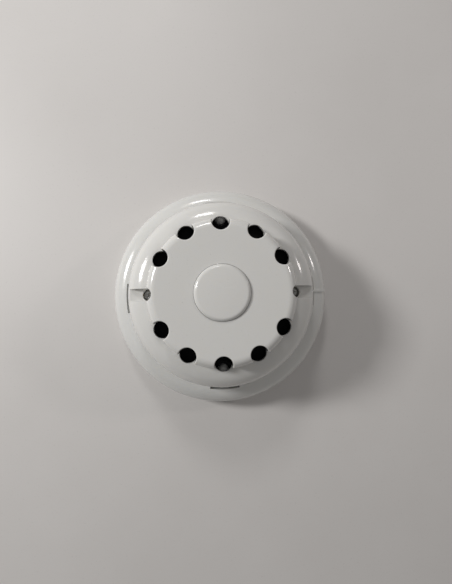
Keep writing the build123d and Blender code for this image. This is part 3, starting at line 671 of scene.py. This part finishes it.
def turned(name, rings, sides=64):
    """A closed turned piece about the axis: rings of (radius, height) in mm, in order from one end."""
    deselect_all()
    (last_radius, last_height), *others = rings
    start = {"vertices": sides, "radius": last_radius * MM, "location": (0, 0, last_height * MM)}
    bpy.ops.mesh.primitive_circle_add(fill_type="NGON", **start)
    piece = bpy.context.object
    piece.name = piece.data.name = name
    bpy.ops.object.transform_apply(location=True, rotation=True, scale=True)
    bpy.ops.object.mode_set(mode="EDIT")
    bpy.ops.mesh.select_all(action="SELECT")
    for radius, height in others:
        rise = (0, 0, (height - last_height) * MM)
        bpy.ops.mesh.extrude_region_move(TRANSFORM_OT_translate={"value": rise})
        spread = radius / last_radius
        bpy.ops.transform.resize(value=(spread, spread, 1), center_override=(0, 0, 0))
        last_radius, last_height = radius, height
    bpy.ops.mesh.select_all(action="SELECT")
    bpy.ops.mesh.normals_make_consistent(inside=False)
    bpy.ops.object.mode_set(mode="OBJECT")
    return piece


def pick_faces(piece, wanted):
    """In edit mode, select only the faces whose middle and normal pass a test."""
    bpy.ops.mesh.select_mode(type="FACE")
    bpy.ops.mesh.select_all(action="DESELECT")
    shape = bmesh.from_edit_mesh(piece.data)
    picked = [face for face in shape.faces if wanted(face.calc_center_median(), face.normal)]
    for face in picked:
        face.select_set(True)
    bmesh.update_edit_mesh(piece.data)
    return len(picked)


def slab(name, low, high):
    """A box between two corners, in mm."""
    deselect_all()
    centre = [(a + b) / 2 * MM for a, b in zip(low, high)]
    size = [(b - a) * MM for a, b in zip(low, high)]
    bpy.ops.mesh.primitive_cube_add(size=1, location=centre, scale=size)
    bpy.ops.object.transform_apply(location=True, rotation=True, scale=True)
    bpy.context.object.name = bpy.context.object.data.name = name
    return bpy.context.object


def cut_by(piece, cutter):
    """Cut one piece out of another, and throw the cutter away."""
    knife = piece.modifiers.new("cut", "BOOLEAN")
    knife.object = cutter
    knife.operation = "DIFFERENCE"
    knife.solver = "EXACT"
    take(piece)
    bpy.ops.object.modifier_apply(modifier=knife.name)
    bpy.data.objects.remove(cutter)


def soften(piece, width, angle=35):
    """Round every edge sharper than an angle, as a tumbled or moulded part has them."""
    rounder = piece.modifiers.new("soften", "BEVEL")
    rounder.width = width * MM
    rounder.segments = 2
    rounder.limit_method = "ANGLE"
    rounder.angle_limit = math.radians(angle)
    take(piece)
    bpy.ops.object.modifier_apply(modifier=rounder.name)


def join_to(piece, other):
    """Make another object part of a piece."""
    take(piece)
    other.select_set(True)
    bpy.ops.object.join()
    return piece


def round_ring(radius, angles, turns):
    """(x, y, turn) at each angle of a circle about the axis, in mm and degrees."""
    return [
        (radius * math.cos(math.radians(angle)), radius * math.sin(math.radians(angle)), own_turn)
        for angle, own_turn in zip(angles, turns)
    ]


def copy_to(piece, places):
    """Copies of a piece that stands on the axis, one at each (x, y, turn), joined into one object."""
    name = piece.name
    copies = []
    for x, y, turn_angle in places:
        take(piece)
        bpy.ops.object.duplicate()
        copy = bpy.context.object
        copy.location = (x * MM, y * MM, 0)
        copy.rotation_euler.z = math.radians(turn_angle)
        bpy.ops.object.transform_apply(location=True, rotation=True, scale=True)
        copies.append(copy)
    bpy.data.objects.remove(piece)
    take(copies[0])
    for copy in copies:
        copy.select_set(True)
    bpy.ops.object.join()
    copies[0].name = copies[0].data.name = name
    return copies[0]


def hand_over(piece, body, slot_name, finish, *nodes, smooth_below=32):
    """Shade a finished piece, give it its finish, and let it stand for CAD nodes of a body."""
    take(piece)
    bpy.ops.object.shade_smooth_by_angle(angle=math.radians(smooth_below))
    piece.data.materials.clear()
    piece.data.materials.append(finish)
    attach(piece, body)
    if nodes:
        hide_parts(*nodes)
    low = [round(min(v.co[axis] for v in piece.data.vertices) / MM, 2) for axis in range(3)]
    high = [round(max(v.co[axis] for v in piece.data.vertices) / MM, 2) for axis in range(3)]
    print(piece.name, low, high, len(piece.data.polygons), "faces")


# %% [markdown]
# ## Places from the frame
#
# The frame says where every CAD part stands, so the new pieces take their places and heights from
# it. A round part's circle is made of straight edges in the frame, so its box is up to a hundredth
# of a millimetre short. That is why plan_of and ring_of round to a tenth.

# %% Place helpers
def middle_of(node):
    """Middle of a CAD node in plan, and its lowest and highest point, in mm."""
    low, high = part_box(node)
    return (low.x + high.x) / 2 / MM, (low.y + high.y) / 2 / MM, low.z / MM, high.z / MM


def heights_of(node):
    """A CAD node's lowest and highest point, in mm."""
    return middle_of(node)[2:]


def plan_of(node):
    """Middle of a CAD node in plan, to a tenth of a millimetre."""
    return tuple(round(value, 1) for value in middle_of(node)[:2])


def reach_of(node, axis):
    """Half of a CAD node's length along an axis (0 for X, 1 for Y), in mm."""
    low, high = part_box(node)
    return (high[axis] - low[axis]) / 2 / MM


def ring_of(node, angle, part_radius):
    """Radius of the ring on which round parts stand, the first of them at an angle, in mm."""
    return round((reach_of(node, 0) - part_radius) / math.cos(math.radians(angle)), 1)


print("height of the board, in mm:", [round(height, 1) for height in heights_of("circuit_board")])

# %% [markdown]
# ## Alarm lamps
#
# Each lamp is a 5 mm LED: a barrel with a half-round end, and a flange with one flat side that
# marks the negative lead. Turn the barrel, run the dome as rings of a quarter circle, then slice
# the flange once with bisect. The slice lies outside the barrel, so that only the flange loses
# its edge.

# %% Model the lamp lenses
led_low, led_top = heights_of("alarm_leds")
led_radius, flange_radius, flat_distance = 2.5, 2.9, 2.62
led_ring = reach_of("alarm_leds", 1) - flange_radius
dome_low = led_top - led_radius
dome_rings, dome_step = 17, 5.4
lens_rings = [
    (flange_radius - 0.2, led_low),
    (flange_radius, led_low + 0.15),
    (flange_radius, led_low + 0.8),
    (flange_radius - 0.15, led_low + 0.98),
    (led_radius + 0.1, led_low + 1.0),
    (led_radius, led_low + 1.15),
]
for number in range(dome_rings):
    angle = math.radians(number * dome_step)
    lens_rings.append((led_radius * math.cos(angle), dome_low + led_radius * math.sin(angle)))
lens = turned("alarm_led_lenses", lens_rings)
bpy.ops.object.mode_set(mode="EDIT")
bpy.ops.mesh.select_all(action="SELECT")
flat_side = (0, flat_distance * MM, 0)
bpy.ops.mesh.bisect(plane_co=flat_side, plane_no=(0, 1, 0), use_fill=True, clear_outer=True)
bpy.ops.object.mode_set(mode="OBJECT")
lenses = copy_to(lens, [(0, led_ring, 90), (0, -led_ring, -90)])
hand_over(lenses, "head", "led_lens", led_lens, "alarm_leds")

# %% [markdown]
# Inside each lens stand the two plates of the lead frame. The wide one ends in a small cup that
# holds the chip and throws its light up, the thin one carries the bond wire. They are thin slabs.
# The wide one's top is widened with an extrude and a scale, then the cup is sunk with an inset.

# %% Model the lead frames
def pull(x, z):
    """Extrude the picked faces by a step along X and Z, in mm."""
    bpy.ops.mesh.extrude_region_move(TRANSFORM_OT_translate={"value": (x * MM, 0, z * MM)})


def faces_up(middle, normal):
    """The faces that look up."""
    return normal.z > 0.9


plate_low, plate_top = led_low + 1.4, led_low + 4.6
cup_middle = (-0.6 * MM, 0, 0)
anvil = slab("lead_frames", (-1.5, -0.25, plate_low), (-0.2, 0.25, plate_top))
bpy.ops.object.mode_set(mode="EDIT")
pick_faces(anvil, faces_up)
pull(0.25, 0.5)
bpy.ops.transform.resize(value=(1.15, 2.6, 1), center_override=cup_middle)
pull(0, 0.35)
bpy.ops.mesh.inset(thickness=0.22 * MM)
pull(0, -0.3)
bpy.ops.transform.resize(value=(0.55, 0.55, 1), center_override=cup_middle)
bpy.ops.object.mode_set(mode="OBJECT")
post = slab("wire_post", (0.75, -0.22, plate_low), (1.35, 0.22, plate_top + 0.2))
bpy.ops.object.mode_set(mode="EDIT")
pick_faces(post, faces_up)
pull(-0.25, 0.45)
bpy.ops.object.mode_set(mode="OBJECT")
frames = copy_to(join_to(anvil, post), [(0, led_ring, 0), (0, -led_ring, 180)])
soften(frames, 0.05)
hand_over(frames, "head", "tinned_wire", tinned_wire)

# %% [markdown]
# ## Screws
#
# The cover is held by two pan-head screws in its notches, and four more clamp housing, board and
# air guide. Their cross recess is a real tapered pocket: two crossed wedges and a short cone are
# cut out of the head. The thread is a three-cornered line wound up the shank with the Screw
# modifier, closed at both ends. A bump texture would look flat against the light here.

# %% Screw helpers
THREAD_CORE, THREAD_CREST, THREAD_PITCH = 0.95, 1.34, 0.9


def shank(tip, seat):
    """Rings of a tapping screw's shank, from its blunt tip to the thicker neck under its head."""
    neck = 1.2
    return [
        (0.35, tip),
        (THREAD_CORE, tip + 1.2),
        (THREAD_CORE, seat - 1.2),
        (neck, seat - 0.8),
        (neck, seat),
    ]


def cross_recess(piece, top, reach, width, depth):
    """Cut a tapered cross into a head whose top is at a height. Sizes in mm."""
    for long_axis in (0, 1):
        low = [-width / 2, -width / 2, top - depth]
        high = [width / 2, width / 2, top + 0.3]
        low[long_axis], high[long_axis] = -reach, reach
        wedge = slab("wedge", low, high)
        bpy.ops.object.mode_set(mode="EDIT")
        pick_faces(wedge, lambda middle, normal: normal.z < -0.9)
        pinch = [0.7, 0.7, 1]
        pinch[long_axis] = 0.45
        bpy.ops.transform.resize(value=pinch, center_override=(0, 0, 0))
        bpy.ops.object.mode_set(mode="OBJECT")
        cut_by(piece, wedge)
    cone_rings = [(width * 0.35, top - depth - 0.25), (width * 0.95, top + 0.3)]
    cut_by(piece, turned("cone", cone_rings, sides=24))


def thread(core, crest, low, high, pitch):
    """A helical ridge with closed ends, in mm."""
    deselect_all()
    bpy.ops.mesh.primitive_circle_add(vertices=3, radius=pitch * 0.42 * MM, fill_type="NOTHING")
    ridge = bpy.context.object
    bpy.ops.object.mode_set(mode="EDIT")
    bpy.ops.mesh.select_all(action="SELECT")
    bpy.ops.transform.rotate(value=math.radians(-90), orient_axis="Z", center_override=(0, 0, 0))
    bpy.ops.transform.rotate(value=math.radians(90), orient_axis="X", center_override=(0, 0, 0))
    bpy.ops.object.mode_set(mode="OBJECT")
    outmost = max(v.co.x for v in ridge.data.vertices)
    inmost = min(v.co.x for v in ridge.data.vertices)
    narrow = (crest - core + 0.1) * MM / (outmost - inmost)
    ridge.scale = (narrow, 1, 1)
    ridge.location = (crest * MM - outmost * narrow, 0, low * MM)
    bpy.ops.object.transform_apply(location=True, rotation=True, scale=True)
    winder = ridge.modifiers.new("wind", "SCREW")
    winder.axis = "Z"
    winder.steps = winder.render_steps = 28
    winder.iterations = int((high - low) / pitch)
    winder.screw_offset = pitch * MM
    bpy.ops.object.modifier_apply(modifier=winder.name)
    bpy.ops.object.mode_set(mode="EDIT")
    bpy.ops.mesh.select_mode(type="EDGE")
    bpy.ops.mesh.select_all(action="DESELECT")
    bpy.ops.mesh.select_non_manifold()
    bpy.ops.mesh.fill_holes(sides=3)
    bpy.ops.mesh.select_all(action="SELECT")
    bpy.ops.mesh.normals_make_consistent(inside=False)
    bpy.ops.object.mode_set(mode="OBJECT")
    return ridge


def pan_head(head_radius, seat, height):
    """Rings of a pan head from its underside to its crown."""
    edge = head_radius - 0.1
    crown = seat + height
    return [
        (edge, seat),
        (head_radius, seat + 0.12),
        (head_radius, seat + height * 0.42),
        (head_radius * 0.965, seat + height * 0.66),
        (head_radius * 0.88, seat + height * 0.84),
        (head_radius * 0.74, crown - height * 0.06),
        (head_radius * 0.52, crown - height * 0.012),
        (head_radius * 0.2, crown),
    ]


# %% [markdown]
# The cover screws stand at 3 and 9 o'clock. Their heads bear on the seats at the bottom of the
# notches, and the lower part of their thread bites into the housing's posts.

# %% Model the cover screws
cover_tip, cover_crown = heights_of("cover_screws")
head_radius, head_height = 2.4, 1.9
screw_ring = reach_of("cover_screws", 0) - head_radius
cover_seat = cover_crown - head_height
rings = shank(cover_tip, cover_seat) + pan_head(head_radius, cover_seat, head_height)
screw = turned("cover_screws_cut", rings, sides=48)
cross_recess(screw, cover_crown, 1.5, 0.62, 1.15)
soften(screw, 0.05)
join_to(screw, thread(THREAD_CORE, THREAD_CREST, cover_tip + 1.4, cover_seat - 1.0, THREAD_PITCH))
cover_screws = copy_to(screw, [(screw_ring, 0, 17), (-screw_ring, 0, -38)])
hand_over(cover_screws, "head", "screw_steel", screw_steel, "cover_screws")

# %% [markdown]
# The board screws point the other way: their heads are sunk in the back of the housing. So the
# same screw is built upside down, which is a half turn about X before it is copied.

# %% Model the board screws
board_low, board_tip = heights_of("board_screws")
post_angles = (45, 135, 225, 315)
board_head = 2.7
post_ring = ring_of("board_screws", post_angles[0], board_head)
flip_height = board_low + board_tip
board_seat = flip_height - board_low - head_height
rings = shank(flip_height - board_tip, board_seat) + pan_head(board_head, board_seat, head_height)
screw = turned("board_screws_cut", rings, sides=48)
cross_recess(screw, board_seat + head_height, 1.6, 0.66, 1.1)
soften(screw, 0.05)
join_to(screw, thread(THREAD_CORE, THREAD_CREST, board_low + 1.4, board_seat - 1.0, THREAD_PITCH))
take(screw)
bpy.ops.object.mode_set(mode="EDIT")
bpy.ops.mesh.select_all(action="SELECT")
half_turn_about = (0, 0, flip_height / 2 * MM)
bpy.ops.transform.rotate(value=math.pi, orient_axis="X", center_override=half_turn_about)
bpy.ops.object.mode_set(mode="OBJECT")
board_screws = copy_to(screw, round_ring(post_ring, post_angles, (0, 20, 40, 60)))
hand_over(board_screws, "head", "screw_steel", screw_steel, "board_screws")

# %% [markdown]
# The terminal screws in the base are slotted machine screws with a cheese head, for a small flat
# driver. Their heads are knurled all round: every second side face is picked by its place and
# pushed in a little.

# %% Model the terminal screws
terminal_tip, terminal_crown = heights_of("terminal_screws")
terminal_angles = (55, 125, 235, 305)
terminal_head, terminal_core, head_sides = 2.75, 1.2, 60
terminal_ring = ring_of("terminal_screws", terminal_angles[0], terminal_head)
terminal_seat = terminal_crown - head_height
rings = [
    (0.9, terminal_tip),
    (terminal_core, terminal_tip + 0.4),
    (terminal_core, terminal_seat),
    (2.6, terminal_seat),
    (terminal_head, terminal_seat + 0.15),
    (terminal_head, terminal_seat + 1.35),
    (2.62, terminal_seat + 1.62),
    (2.3, terminal_seat + 1.82),
    (1.6, terminal_crown),
]
screw = turned("terminal_screws_cut", rings, sides=head_sides)
bpy.ops.object.mode_set(mode="EDIT")
bpy.ops.mesh.select_mode(type="FACE")


def on_flute(middle, normal):
    """Every second side face of the head."""
    sector = int(math.degrees(math.atan2(middle.y, middle.x)) % 360 // (360 / head_sides))
    on_side = math.hypot(middle.x, middle.y) > (terminal_head - 0.05) * MM and abs(normal.z) < 0.1
    return on_side and sector % 2 == 0


flutes = pick_faces(screw, on_flute)
bpy.ops.mesh.inset(thickness=0.04 * MM, use_individual=True)
bpy.ops.transform.resize(value=(0.965, 0.965, 1), center_override=(0, 0, 0))
bpy.ops.object.mode_set(mode="OBJECT")
cut_by(screw, slab("slot", (-3.2, -0.45, terminal_crown - 1.0), (3.2, 0.45, terminal_crown + 0.5)))
join_to(screw, thread(terminal_core, 1.49, terminal_tip + 0.5, terminal_seat - 0.6, 0.5))
terminal_screws = copy_to(screw, round_ring(terminal_ring, terminal_angles, (0, 33, 66, 99)))
hand_over(terminal_screws, "base", "plated_steel", plated_steel, "terminal_screws")
print("flutes on one head:", flutes)

# %% [markdown]
# ## Sensor beads
#
# Both thermistors are tiny beads dipped in epoxy. The drop hangs as it cures, so the bead is
# fullest near its free end and thins down to a collar round its two leads. Rings give that drop
# shape, and a subdivision smooths it.

# %% Model the beads
def dipped_bead(name, x, y, low, high, radius):
    """A drop-shaped bead from a low end with a collar to a full high end, in mm."""
    tall = high - low
    collar = ((0.36, 0.0), (0.44, 0.03), (0.42, 0.10))
    belly = ((0.55, 0.22), (0.82, 0.42), (0.97, 0.58), (1.0, 0.68), (0.95, 0.80))
    outline = (*collar, *belly, (0.78, 0.91), (0.50, 0.98), (0.18, 1.0))
    bead = turned(name, [(radius * share, low + tall * part) for share, part in outline], sides=24)
    smoother = bead.modifiers.new("smooth", "SUBSURF")
    smoother.levels = smoother.render_levels = 1
    take(bead)
    bpy.ops.object.modifier_apply(modifier=smoother.name)
    bead.location = (x * MM, y * MM, 0)
    bpy.ops.object.transform_apply(location=True, rotation=True, scale=True)
    return bead


beads = (("sensing_bead", "sensing_thermistor", 1.5), ("reference_bead", "reference_thermistor", 1.3))
for bead_name, thermistor, bead_radius in beads:
    bead = dipped_bead(bead_name, *middle_of(thermistor), bead_radius)
    hand_over(bead, "head", "bead_epoxy", bead_epoxy, thermistor)

# %% [markdown]
# ## Electrolytic capacitors
#
# A small electrolytic is an aluminium can rolled in near its rubber bung, in a shrink sleeve that
# folds over the top edge and leaves a bare disc. The disc is scored with a cross, so that it opens
# before the can bursts. The sleeve is turned with a well in its top, and the disc is a second
# turned piece that lies in the well.

# %% Model the capacitors
can_low, can_top = heights_of("electrolytic_capacitors")
can_radius = 3.15
cans_x, cans_y = middle_of("electrolytic_capacitors")[:2]
apart_x = reach_of("electrolytic_capacitors", 0) - can_radius
apart_y = reach_of("electrolytic_capacitors", 1) - can_radius
capacitor_places = [
    (round(cans_x + apart_x, 1), round(cans_y - apart_y, 1), 40),
    (round(cans_x - apart_x, 1), round(cans_y + apart_y, 1), 155),
]
sleeve_rings = [
    (2.75, can_low),
    (can_radius - 0.12, can_low + 0.06),
    (can_radius, can_low + 0.25),
    (can_radius, can_low + 1.0),
    (can_radius - 0.12, can_low + 1.2),
    (can_radius - 0.34, can_low + 1.4),
    (can_radius - 0.12, can_low + 1.6),
    (can_radius, can_low + 1.8),
    (can_radius, can_top - 0.45),
    (can_radius - 0.12, can_top - 0.16),
    (can_radius - 0.35, can_top - 0.02),
    (can_radius - 0.6, can_top),
    (can_radius - 0.66, can_top - 0.05),
    (can_radius - 0.68, can_top - 0.2),
]
sleeves = copy_to(turned("capacitor_sleeves", sleeve_rings), capacitor_places)
hand_over(sleeves, "head", "capacitor_sleeve", capacitor_sleeve, "electrolytic_capacitors")

vent_radius = can_radius - 0.69
vent_low = can_top - 0.2
vent_rings = [
    (vent_radius, vent_low),
    (vent_radius, can_top - 0.1),
    (vent_radius - 0.2, can_top - 0.06),
]
vent = turned("capacitor_vents", vent_rings)
for score_angle in (0, 90):
    score = take(slab("score", (-1.9, -0.09, can_top - 0.11), (1.9, 0.09, can_top + 0.1)))
    score.rotation_euler.z = math.radians(score_angle)
    bpy.ops.object.transform_apply(location=True, rotation=True, scale=True)
    cut_by(vent, score)
vents = copy_to(vent, capacitor_places)
hand_over(vents, "head", "plated_steel", plated_steel)

# %% [markdown]
# ## Solder
#
# The parts with a pair of leads end in two small solder cones on the underside of the board, and
# each contact pin in a wider one on top. Molten solder climbs a lead and spreads on its pad, so that
# the cone is hollow in outline. One cone is turned and copied to all the holes.

# %% Model the solder joints
def solder_cone(name, radius, lead_radius, foot, rise):
    """A hollow-sided cone round a lead, growing from a foot height by a rise (negative: downwards)."""
    outline = ((1.0, 0.0), (0.97, 0.06), (0.72, 0.16), (0.50, 0.38), (0.36, 0.70), (0.20, 1.0))
    rings = [(lead_radius + (radius - lead_radius) * share, foot + rise * part) for share, part in outline]
    return turned(name, rings, sides=20)


board_low_side, board_top_side = heights_of("circuit_board")
lead_pairs = [
    (0, -led_ring, 1.27),
    (0, led_ring, 1.27),
    (*plan_of("sensing_thermistor"), 0.9),
    (*plan_of("reference_thermistor"), 1.27),
    *[(x, y, 1.25) for x, y, _ in capacitor_places],
    (*plan_of("film_capacitor"), 2.5),
    (*plan_of("surge_suppressor"), 2.5),
]
lead_places = [(x + side, y) for x, y, half_pitch in lead_pairs for side in (-half_pitch, half_pitch)]
cone = solder_cone("lead_solder", 0.85, 0.22, board_low_side, -0.85)
lead_solder = copy_to(cone, [(x, y, 11 * number) for number, (x, y) in enumerate(lead_places)])
hand_over(lead_solder, "head", "tinned_wire", solder, smooth_below=50)

pin_foot = 2.0
pin_ring = ring_of("contact_pins", terminal_angles[0], pin_foot)
pin_cone = solder_cone("pin_solder", pin_foot, 0.95, board_top_side, 0.8)
pin_solder = copy_to(pin_cone, round_ring(pin_ring, terminal_angles, terminal_angles))
hand_over(pin_solder, "head", "tinned_wire", solder, smooth_below=50)

# %% [markdown]
# ## Floor
#
# The detector lies on a pale laminate worktop, with a soft mottle and a satin shine.

# %% Lay the floor
def worktop(name):
    """Pale laminate with a soft mottle and faint flecks."""
    material, tree, shader, place = new_material(name)
    mottle = noise(tree, place, 14.0, 6.0, 0.6)
    fleck = ramp(tree, noise(tree, place, 900.0, 2.0), 0.62, 0.75)
    clouds = ramp(tree, mottle, 0.35, 0.65)
    colour = tint_by(tree, clouds, (0.735, 0.712, 0.695, 1), (0.755, 0.733, 0.717, 1))
    colour = tint_by(tree, maths(tree, "MULTIPLY", fleck, 0.15), colour, (0.45, 0.43, 0.42, 1))
    tree.links.new(colour, shader.inputs["Base Color"])
    tree.links.new(ramp(tree, mottle, 0.3, 0.7, 0.45, 0.6), shader.inputs["Roughness"])
    bump(tree, shader, noise(tree, place, 1500.0, 3.0), 1e-5)
    return material


deselect_all()
bpy.ops.mesh.primitive_plane_add(size=2.4, location=(0, 0, -0.1 * MM))
floor = bpy.context.object
floor.name = "worktop"
floor.data.materials.append(worktop("worktop"))
